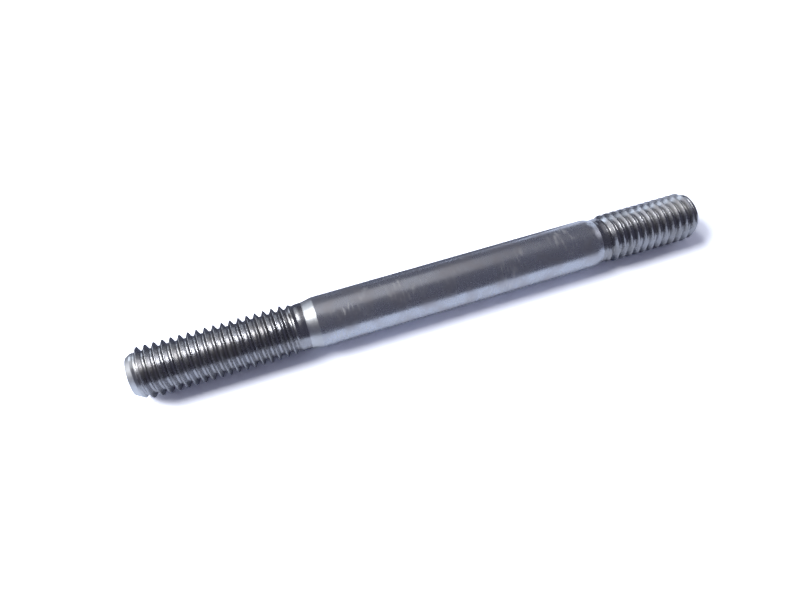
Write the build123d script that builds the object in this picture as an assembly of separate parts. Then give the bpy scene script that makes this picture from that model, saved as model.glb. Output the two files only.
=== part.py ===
from build123d import *
import os
from math import ceil, cos, pi, sin

# Double-end stud bolt, M8 coarse thread: one steel bar, turned to shape, with a thread
# rolled on each end. The nut end is the longer thread. The tap end is the shorter one,
# which stays screwed into a casting. The shank between them is thicker than the bar that
# the threads are rolled on, and runs down to it over a cone at each end.
#
# Millimetres, +Z up. The stud lies on its shank along X, the nut end towards -X, with the
# origin below its middle on the surface that it lies on. Each end is worked out standing
# on its own tip, with heights measured from that tip towards the shank.

total_length = 91.75
shank_diameter = 7.88

# Thread, the same on both ends.
pitch = 1.25
crest_diameter = 7.88
root_diameter = 6.47
blank_diameter = 7.19          # the bar before rolling, still bare between thread and cone

# Nut end.
nut_tip_diameter = 5.7
nut_point_length = 1.8         # cone from the tip to clear of the crest
nut_thread_length = 23.1       # full-height thread, tip included
nut_runout_length = 2.7        # crests and roots fade to the bare bar
nut_neck_length = 0.35
nut_shoulder_length = 1.7
nut_start_turn = 0.06          # where round the bar the thread starts, in turns

# Tap end.
tap_tip_diameter = 5.8
tap_rim_diameter = 6.9         # the point is rounded: a steep rim, then a slow cone
tap_rim_length = 0.4
tap_point_length = 1.7
tap_thread_length = 15.1
tap_runout_length = 2.3
tap_neck_length = 0.1
tap_shoulder_length = 1.15
tap_start_turn = 0.69

# Modelling only.
points_per_turn = 24           # of the spline that each turn of a helix follows
sink = 0.03                    # the faded thread ends this far below the bare bar
cut_margin = 0.1               # a cutter reaches this far past what it cuts
turns_below_tip = 2            # whole turns of thread that run past the tip, cut off later


def turned(outline):
    """A solid of revolution about Z from a closed outline of (radius, height)."""
    return revolve(Plane.XZ * make_face(outline), Axis.Z)


def fade(height, full_to, gone_at):
    """1 up to full_to, 0 from gone_at on, and a smooth fall between them."""
    share = (height - full_to) / (gone_at - full_to)
    return (1 + cos(pi * min(1, max(0, share)))) / 2


def helix_turn(start, radius_at):
    """One turn of a right-hand helix that climbs a pitch from start, its radius set by height."""
    points = []
    for step in range(points_per_turn + 1):
        turn = step / points_per_turn
        height = start + pitch * turn
        radius = radius_at(height)
        points.append((radius * cos(2 * pi * turn), radius * sin(2 * pi * turn), height))
    return Spline(*points).edge()


def end_cap(root_edge):
    """The spiral ramp from one turn of the root in to the axis."""
    axis = Line((0, 0, (root_edge @ 0).Z), (0, 0, (root_edge @ 1).Z))
    return Face.make_surface_from_curves(root_edge, axis.edge())


def end_step(root_below, crest, root_above):
    """The flat step in a ramp, between the axis and one V of the thread."""
    return make_face(Polyline((0, 0, root_below.Z), root_below, crest, root_above,
                              (0, 0, root_above.Z), close=True)).face()


def thread(full_to, gone_at, start_turn):
    """A threaded bar that starts below the tip and fades into the bare bar at its top.

    Rolling raises a crest by the metal that its groove pushes out, which goes with the
    groove's depth squared, so along the run-out the crests fall sooner than the roots.
    """
    faded_radius = blank_diameter / 2 - sink

    def crest_at(height):
        rise = crest_diameter / 2 - faded_radius
        return faded_radius + rise * fade(height, full_to, gone_at) ** 2

    def root_at(height):
        depth = faded_radius - root_diameter / 2
        return faded_radius - depth * fade(height, full_to, gone_at)

    start = -turns_below_tip * pitch
    turns = ceil((gone_at - start) / pitch) + 1
    roots = [helix_turn(start + (turn - 0.5) * pitch, root_at) for turn in range(turns + 1)]
    crests = [helix_turn(start + turn * pitch, crest_at) for turn in range(turns)]
    faces = [end_cap(roots[0]), end_cap(roots[-1])]
    faces.append(end_step(roots[0] @ 0, crests[0] @ 0, roots[1] @ 0))
    faces.append(end_step(roots[-2] @ 1, crests[-1] @ 1, roots[-1] @ 1))
    for below, crest, above in zip(roots, crests, roots[1:]):
        faces.append(Face.make_surface_from_curves(below, crest))
        faces.append(Face.make_surface_from_curves(crest, above))
    return Rot(0, 0, -360 * start_turn) * Solid(Shell(faces))


def point_cutter(point_outline, point_length):
    """What is turned away from the thread to leave a point with the outline given."""
    outer_radius = crest_diameter / 2 + cut_margin
    far_radius = 2 * outer_radius
    bottom = -2 * turns_below_tip * pitch
    return turned(Polyline(*point_outline, (outer_radius, point_length), (far_radius, point_length),
                           (far_radius, bottom), (0, bottom), (0, 0), close=True))


def neck_and_shoulder(thread_end, neck_length, shoulder_length):
    """The bare bar above a thread and its cone, up to the middle of the shank."""
    blank_radius = blank_diameter / 2
    shank_radius = shank_diameter / 2
    shoulder_start = thread_end + neck_length
    return turned(Polyline((0, thread_end), (blank_radius, thread_end), (blank_radius, shoulder_start),
                           (shank_radius, shoulder_start + shoulder_length),
                           (shank_radius, total_length / 2), (0, total_length / 2), close=True))


def stud_half(point_outline, point_length, thread_length, runout_length,
              neck_length, shoulder_length, start_turn):
    """Half of the stud, standing on its tip."""
    thread_end = thread_length + runout_length
    half = thread(thread_length, thread_end, start_turn)
    half += neck_and_shoulder(thread_end, neck_length, shoulder_length)
    return half - point_cutter(point_outline, point_length)


def stud():
    """The whole stud, laid on its side."""
    nut_outline = [(nut_tip_diameter / 2, 0)]
    tap_outline = [(tap_tip_diameter / 2, 0), (tap_rim_diameter / 2, tap_rim_length)]
    nut_half = stud_half(nut_outline, nut_point_length, nut_thread_length, nut_runout_length,
                         nut_neck_length, nut_shoulder_length, nut_start_turn)
    tap_half = stud_half(tap_outline, tap_point_length, tap_thread_length, tap_runout_length,
                         tap_neck_length, tap_shoulder_length, tap_start_turn)
    standing = nut_half + Pos(0, 0, total_length) * Rot(180, 0, 0) * tap_half
    return Pos(-total_length / 2, 0, shank_diameter / 2) * Rot(0, 90, 0) * standing


os.makedirs("parts", exist_ok=True)
export_step(stud(), "parts/stud.step")
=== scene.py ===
from math import ceil, cos, pi, radians, sin, tan

import bmesh
import bpy
from mathutils import Matrix, Vector


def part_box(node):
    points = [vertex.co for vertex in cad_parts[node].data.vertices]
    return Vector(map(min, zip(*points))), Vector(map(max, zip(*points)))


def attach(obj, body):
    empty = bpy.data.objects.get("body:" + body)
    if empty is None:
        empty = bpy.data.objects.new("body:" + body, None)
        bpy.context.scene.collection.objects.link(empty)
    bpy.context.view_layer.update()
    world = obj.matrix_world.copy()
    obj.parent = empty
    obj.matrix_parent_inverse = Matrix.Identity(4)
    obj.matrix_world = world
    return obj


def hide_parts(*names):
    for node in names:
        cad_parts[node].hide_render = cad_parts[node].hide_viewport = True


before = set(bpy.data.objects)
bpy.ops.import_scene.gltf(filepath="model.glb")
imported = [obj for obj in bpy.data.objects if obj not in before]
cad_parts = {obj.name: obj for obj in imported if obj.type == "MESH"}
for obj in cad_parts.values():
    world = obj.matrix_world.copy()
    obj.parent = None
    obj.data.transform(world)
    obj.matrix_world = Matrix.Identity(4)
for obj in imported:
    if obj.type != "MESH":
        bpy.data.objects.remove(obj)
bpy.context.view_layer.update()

# The camera looks down on the stud from the side of its longer thread, with the stud
# lying from lower left to upper right. No shift and no depth of field.
camera_azimuth = radians(-18.79)
camera_elevation = radians(59.17)
camera_distance = 0.10979
camera_aim = Vector((-0.00413, 0.00191, 0))

camera_data = bpy.data.cameras.new("camera")
camera_data.lens = 30.63
camera_data.sensor_width = 36
camera_data.clip_start = 0.005
camera_data.clip_end = 20
camera = bpy.data.objects.new("camera", camera_data)
towards_camera = Vector((sin(camera_azimuth) * cos(camera_elevation),
                         -cos(camera_azimuth) * cos(camera_elevation),
                         sin(camera_elevation)))
camera.location = camera_aim + camera_distance * towards_camera
camera.rotation_euler = towards_camera.to_track_quat("Z", "Y").to_euler()
bpy.context.collection.objects.link(camera)
bpy.context.scene.camera = camera

# The stud: one steel bar, made in two halves that are welded in the middle. Each half is
# the rounded outline of a right-hand M8 coarse thread, wound up the bar, pointed at its
# tip, faded at its run-out, and drawn out from there over the cone and along the shank.
stud_low, stud_high = (Vector(corner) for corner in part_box("stud"))
stud_length = stud_high.x - stud_low.x
axis_height = (stud_low.z + stud_high.z) / 2

pitch = 0.00125
crest_radius = 0.00394
root_radius = 0.003235
blank_radius = 0.003595
shank_radius = 0.00394
crest_flat = pitch / 10
flank_run = (crest_radius - root_radius) * tan(radians(30))
root_flat = pitch - crest_flat - 2 * flank_run
thread_rounding = 0.00004
tip_rounding = 0.00006
steps_per_turn = 72
turns_below_tip = 2.5           # of thread, cut off square at the tip
weld_distance = 2e-6


def verts_of(items):
    """The vertices among a bmesh operator's results."""
    return [item for item in items if isinstance(item, bmesh.types.BMVert)]


def wound_thread(top, start_turn):
    """A thread wound up the bar from below its tip to past top, as an open tube."""
    bm = bmesh.new()
    outline = [(root_radius, 0), (root_radius, root_flat / 2),
               (crest_radius, root_flat / 2 + flank_run),
               (crest_radius, root_flat / 2 + flank_run + crest_flat),
               (root_radius, pitch - root_flat / 2), (root_radius, pitch)]
    start = pitch * (start_turn - turns_below_tip)
    corners = [bm.verts.new((radius, 0, start + height)) for radius, height in outline]
    for pair in zip(corners, corners[1:]):
        bm.edges.new(pair)
    bmesh.ops.bevel(bm, geom=corners[1:-1], affect="VERTICES", offset=thread_rounding,
                    offset_type="OFFSET", segments=3, profile=0.5, material=-1)
    bmesh.ops.spin(bm, geom=bm.verts[:] + bm.edges[:], cent=(0, 0, 0), axis=(0, 0, 1),
                   dvec=(0, 0, pitch / steps_per_turn), angle=2 * pi, steps=steps_per_turn)
    first_turn = bm.verts[:] + bm.edges[:] + bm.faces[:]
    for turn in range(1, ceil((top - start) / pitch) + 1):
        copied = bmesh.ops.duplicate(bm, geom=first_turn)["geom"]
        bmesh.ops.translate(bm, vec=(0, 0, pitch * turn), verts=verts_of(copied))
    bmesh.ops.remove_doubles(bm, verts=bm.verts[:], dist=weld_distance)
    return bm


def set_radius(vert, radius):
    """Moves a vertex straight out from the bar's axis or in towards it."""
    scale = radius / Vector((vert.co.x, vert.co.y)).length
    vert.co.x *= scale
    vert.co.y *= scale


def threaded_end(full_to, gone_at, point, start_turn):
    """One threaded end standing on its tip. Point is a list of (radius, height)."""
    bm = wound_thread(gone_at, start_turn)
    for vert in bm.verts:
        height = vert.co.z
        share = min(1, max(0, (height - full_to) / (gone_at - full_to)))
        full = (1 + cos(pi * share)) / 2
        from_blank = Vector((vert.co.x, vert.co.y)).length - blank_radius
        # Where a rolled groove gets shallower, the crest beside it falls sooner still.
        radius = blank_radius + from_blank * (full ** 2 if from_blank > 0 else full)
        for (radius_1, height_1), (radius_2, height_2) in zip(point, point[1:]):
            if height <= height_2:
                slope = (radius_2 - radius_1) / (height_2 - height_1)
                radius = min(radius, radius_1 + slope * (height - height_1))
                break
        set_radius(vert, radius)
    for height, is_tip in ((tip_rounding, True), (gone_at, False)):
        bmesh.ops.bisect_plane(bm, geom=bm.verts[:] + bm.edges[:] + bm.faces[:], dist=1e-7,
                               plane_co=(0, 0, height), plane_no=(0, 0, 1),
                               clear_inner=is_tip, clear_outer=not is_tip)
    return bm


def rim(bm, height):
    """The open edges at that height."""
    return [edge for edge in bm.edges
            if edge.is_boundary and all(abs(vert.co.z - height) < 1e-6 for vert in edge.verts)]


def even_rim(bm, height):
    """The rim with only the vertices that stand on a whole step of the turn."""
    odd = set()
    for edge in rim(bm, height):
        for vert in edge.verts:
            step = Vector((vert.co.x, vert.co.y)).angle_signed(Vector((1, 0)))
            step *= steps_per_turn / (2 * pi)
            if abs(step - round(step)) > 1e-3:
                odd.add(vert)
    bmesh.ops.dissolve_verts(bm, verts=list(odd))
    return rim(bm, height)


def drawn_out(bm, edges, stations):
    """Draws a rim out through stations of (radius, height)."""
    for radius, height in stations:
        made = bmesh.ops.extrude_edge_only(bm, edges=edges)["geom"]
        for vert in verts_of(made):
            set_radius(vert, radius)
            vert.co.z = height
        edges = [item for item in made if isinstance(item, bmesh.types.BMEdge)
                 and all(abs(vert.co.z - height) < 1e-7 for vert in item.verts)]


def stud_half(full_to, gone_at, neck, shoulder, rounding, point, start_turn, reach):
    """Half of the stud standing on its tip, open at reach, the shank's edge rounded."""
    bm = threaded_end(full_to, gone_at, point, start_turn)
    tip = bmesh.ops.contextual_create(bm, geom=rim(bm, tip_rounding))["faces"]
    tip[0].normal_update()
    if tip[0].normal.z > 0:
        tip[0].normal_flip()
    bmesh.ops.inset_individual(bm, faces=tip, thickness=tip_rounding, depth=tip_rounding)
    cone_from = gone_at + neck
    cone_to = cone_from + shoulder
    slope = (shank_radius - blank_radius) / shoulder
    hollow = neck / 2
    shares = [step / 4 for step in range(5)]
    cone_foot = [(blank_radius + slope * hollow * share ** 2,
                  cone_from + hollow * (2 * share - 1)) for share in shares]
    shank_edge = [(shank_radius - slope * rounding * (1 - share) ** 2,
                   cone_to + rounding * (2 * share - 1)) for share in shares]
    shank = [(shank_radius, cone_to + 2 * rounding), (shank_radius, reach)]
    drawn_out(bm, even_rim(bm, gone_at), cone_foot + shank_edge + shank)
    return bm


nut_thread_gone = 0.0258
nut_neck = 0.00035
nut_shoulder = 0.0017
tap_thread_gone = 0.0174
tap_neck = 0.0001
nut_half = stud_half(full_to=0.0231, gone_at=nut_thread_gone, neck=nut_neck,
                     shoulder=nut_shoulder, rounding=0.00012,
                     point=[(0.00285, 0), (crest_radius, 0.0018)],
                     start_turn=0.06, reach=stud_length / 2)
tap_half = stud_half(full_to=0.0151, gone_at=tap_thread_gone, neck=tap_neck,
                     shoulder=0.00115, rounding=0.0004,
                     point=[(0.0029, 0), (0.00345, 0.0004), (crest_radius, 0.0017)],
                     start_turn=0.69, reach=stud_length / 2)

onto_bar = Matrix.Translation((stud_low.x, 0, axis_height)) @ Matrix.Rotation(pi / 2, 4, "Y")
turned_end_for_end = Matrix.Translation((0, 0, stud_length)) @ Matrix.Rotation(pi, 4, "X")
tap_half.transform(onto_bar @ turned_end_for_end)
nut_half.transform(onto_bar)
stud_mesh = bpy.data.meshes.new("threaded_stud")
tap_half.to_mesh(stud_mesh)
nut_half.from_mesh(stud_mesh)
bmesh.ops.remove_doubles(nut_half, verts=nut_half.verts[:], dist=weld_distance)
bmesh.ops.recalc_face_normals(nut_half, faces=nut_half.faces[:])

# Rolled steel on the threads, drawn steel from the nut end's cone to the foot of the tap
# end's, and turned steel on the nut end's point and cone.
point_to = stud_low.x + 0.0014
turned_from = stud_low.x + nut_thread_gone + nut_neck
drawn_from = turned_from + nut_shoulder
drawn_to = stud_high.x - tap_thread_gone - tap_neck
for face in nut_half.faces:
    face.smooth = True
    along = face.calc_center_median().x
    if drawn_from < along < drawn_to:
        face.material_index = 1
    elif along < point_to or turned_from < along <= drawn_from:
        face.material_index = 2
nut_half.to_mesh(stud_mesh)
nut_half.free()
tap_half.free()
stud_mesh.set_sharp_from_angle(angle=radians(35))
stud = bpy.data.objects.new("threaded_stud", stud_mesh)
bpy.context.collection.objects.link(stud)


def steel(name, colour, worn_colour, bare, roughness, marks, bump):
    """Bare steel: blotches of tarnish, fine grain, and light scratches round the bar."""
    material = bpy.data.materials.new(name)
    material.use_nodes = True
    nodes = material.node_tree.nodes
    links = material.node_tree.links
    shader = nodes["Principled BSDF"]
    shader.inputs["Metallic"].default_value = bare
    place = nodes.new("ShaderNodeTexCoord").outputs["Object"]

    def noise(scale, detail, stretch=(1, 1, 1)):
        """Noise in the stud's own space, finer along an axis whose stretch is larger."""
        mapping = nodes.new("ShaderNodeMapping")
        mapping.inputs["Scale"].default_value = stretch
        links.new(place, mapping.inputs["Vector"])
        texture = nodes.new("ShaderNodeTexNoise")
        texture.inputs["Scale"].default_value = scale
        texture.inputs["Detail"].default_value = detail
        links.new(mapping.outputs["Vector"], texture.inputs["Vector"])
        return texture.outputs["Fac"]

    def spread(value, low, high, to_low, to_high):
        """The value's range from low to high, spread over to_low to to_high."""
        change = nodes.new("ShaderNodeMapRange")
        for socket, number in zip(("From Min", "From Max", "To Min", "To Max"),
                                  (low, high, to_low, to_high)):
            change.inputs[socket].default_value = number
        links.new(value, change.inputs["Value"])
        return change.outputs["Result"]

    def combined(operation, first, second):
        """Two values put together by a Math node."""
        node = nodes.new("ShaderNodeMath")
        node.operation = operation
        for socket, value in zip(node.inputs, (first, second)):
            if isinstance(value, (int, float)):
                socket.default_value = value
            else:
                links.new(value, socket)
        return node.outputs["Value"]

    def mixed(share, first, second):
        """Two colours mixed by a value."""
        mix = nodes.new("ShaderNodeMix")
        mix.data_type = "RGBA"
        links.new(share, mix.inputs["Factor"])
        for socket, value in (("A", first), ("B", second)):
            if isinstance(value, tuple):
                mix.inputs[socket].default_value = (*value, 1)
            else:
                links.new(value, mix.inputs[socket])
        return mix.outputs["Result"]

    blotches = noise(330, 4)
    grain = noise(5200, 3)
    fine = noise(2600, 3, (1, 0.22, 0.22))
    patches = noise(150, 3, (1, 1.6, 1.6))
    scratches = combined("MULTIPLY", spread(fine, 0.50, 0.66, 0, 1),
                         spread(patches, 0.46, 0.62, 0, marks))
    tarnished = mixed(spread(blotches, 0.40, 0.65, 0, 1), colour, worn_colour)
    links.new(mixed(scratches, tarnished, (0.72, 0.71, 0.70)), shader.inputs["Base Color"])
    uneven = combined("ADD", spread(blotches, 0.35, 0.65, roughness - 0.04, roughness + 0.05),
                      spread(grain, 0.3, 0.7, -0.03, 0.03))
    rough_marks = combined("MULTIPLY", scratches, 0.22)
    links.new(combined("ADD", uneven, rough_marks), shader.inputs["Roughness"])
    normal = nodes.new("ShaderNodeBump")
    normal.inputs["Strength"].default_value = bump
    normal.inputs["Distance"].default_value = 0.00001
    links.new(combined("ADD", combined("MULTIPLY", grain, 0.5), fine), normal.inputs["Height"])
    links.new(normal.outputs["Normal"], shader.inputs["Normal"])
    return material


for metal in (
        steel("rolled_steel", (0.45, 0.45, 0.47), (0.39, 0.38, 0.38),
              bare=1.0, roughness=0.26, marks=0.1, bump=0.02),
        steel("drawn_steel", (0.63, 0.65, 0.70), (0.55, 0.54, 0.56),
              bare=0.94, roughness=0.28, marks=0.85, bump=0.12),
        steel("turned_steel", (0.70, 0.71, 0.72), (0.62, 0.62, 0.62),
              bare=1.0, roughness=0.36, marks=0.3, bump=0.05)):
    stud_mesh.materials.append(metal)
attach(stud, "root")
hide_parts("stud")

# The floor: a plain sheet of white paper that the stud lies on. The camera alone sees it
# much lighter than white, so that only the shadow shows, and steel sees it a little blue.
floor_mesh = bpy.data.meshes.new("floor")
floor_bm = bmesh.new()
bmesh.ops.create_grid(floor_bm, x_segments=1, y_segments=1, size=6)
floor_bm.to_mesh(floor_mesh)
floor_bm.free()
floor = bpy.data.objects.new("floor", floor_mesh)
bpy.context.collection.objects.link(floor)
paper = bpy.data.materials.new("paper")
paper.use_nodes = True
paper_nodes = paper.node_tree.nodes
paper_nodes.clear()
paper_ray = paper_nodes.new("ShaderNodeLightPath")
paper_diffuse = paper_nodes.new("ShaderNodeBsdfDiffuse")
paper_output = paper_nodes.new("ShaderNodeOutputMaterial")
paper.node_tree.links.new(paper_diffuse.outputs["BSDF"], paper_output.inputs["Surface"])
paper_rgb = paper_nodes.new("ShaderNodeRGB")
paper_colour = paper_rgb.outputs["Color"]
paper_colour.default_value = (0.85, 0.85, 0.87, 1)
for ray, seen_colour in (("Is Glossy Ray", (0.80, 0.86, 1.0, 1)),
                         ("Is Camera Ray", (1.85, 1.87, 2.01, 1))):
    mix = paper_nodes.new("ShaderNodeMix")
    mix.data_type = "RGBA"
    paper.node_tree.links.new(paper_ray.outputs[ray], mix.inputs["Factor"])
    paper.node_tree.links.new(paper_colour, mix.inputs["A"])
    mix.inputs["B"].default_value = seen_colour
    paper_colour = mix.outputs["Result"]
paper.node_tree.links.new(paper_colour, paper_diffuse.inputs["Color"])
floor_mesh.materials.append(paper)

# The dark card: lies on the paper behind the stud, where only reflections see it. The far
# side of the bar has something dark to reflect there, and stands off the white.
card_near = 0.007
card_right = 0.030
card_side = 0.5
card_height = 0.0002
card_mesh = bpy.data.meshes.new("dark_card")
card_bm = bmesh.new()
bmesh.ops.create_grid(card_bm, x_segments=1, y_segments=1, size=card_side / 2)
bmesh.ops.translate(card_bm, verts=card_bm.verts[:],
                    vec=(card_right - card_side / 2, card_near + card_side / 2, card_height))
card_bm.to_mesh(card_mesh)
card_bm.free()
card = bpy.data.objects.new("dark_card", card_mesh)
bpy.context.collection.objects.link(card)
card_black = bpy.data.materials.new("card_black")
card_black.use_nodes = True
card_shader = card_black.node_tree.nodes["Principled BSDF"]
card_shader.inputs["Base Color"].default_value = (0.09, 0.10, 0.15, 1)
card_shader.inputs["Roughness"].default_value = 0.9
card_mesh.materials.append(card_black)
card.visible_camera = False
card.visible_diffuse = False
card.visible_shadow = False

# The light: a strong window high up to the left, a narrow strip behind it for the nut end's
# cone to reflect, and dimmer lights, most of them bluish, to either side and behind.
def soft_light(name, across, along, direction, energy, colour):
    """A soft light a metre away in that direction, so wide across the stud and along it."""
    data = bpy.data.lights.new(name, "AREA")
    data.shape = "RECTANGLE"
    data.size = across
    data.size_y = along
    data.energy = energy
    data.color = colour
    light = bpy.data.objects.new(name, data)
    away = Vector(direction).normalized()
    light.location = away
    across_axis = away.cross(Vector((1, 0, 0))).normalized()
    turned = Matrix((across_axis, away.cross(across_axis), away)).transposed()
    light.rotation_euler = turned.to_euler()
    bpy.context.collection.objects.link(light)


soft_light("window", 0.36, 0.30, (-0.62, 0.14, 0.77), 6.6, (0.98, 1.0, 1.02))
soft_light("sky", 1.30, 0.45, (-0.42, 0.57, 0.71), 1.6, (0.92, 1.0, 1.08))
soft_light("left", 1.30, 0.42, (-0.90, 0.22, 0.38), 1.6, (0.97, 1.0, 1.05))
soft_light("right", 0.70, 0.36, (0.90, 0.25, 0.36), 0.8, (0.96, 1.0, 1.12))
soft_light("low_left", 0.30, 0.50, (-0.50, 0.85, 0.15), 0.9, (0.88, 1.0, 1.16))
soft_light("low_right", 0.30, 0.40, (0.68, 0.70, 0.20), 0.25, (0.88, 1.0, 1.16))
soft_light("ceiling", 1.00, 0.40, (0.14, 0.42, 0.90), 0.40, (1.0, 1.0, 1.02))
soft_light("overhead", 0.60, 0.12, (-0.34, 0.42, 0.84), 1.4, (0.98, 1.0, 1.02))

world = bpy.data.worlds.new("room")
world.use_nodes = True
world.node_tree.nodes["Background"].inputs["Color"].default_value = (0.076, 0.078, 0.115, 1)
bpy.context.scene.world = world
bpy.context.scene.view_settings.view_transform = "Standard"
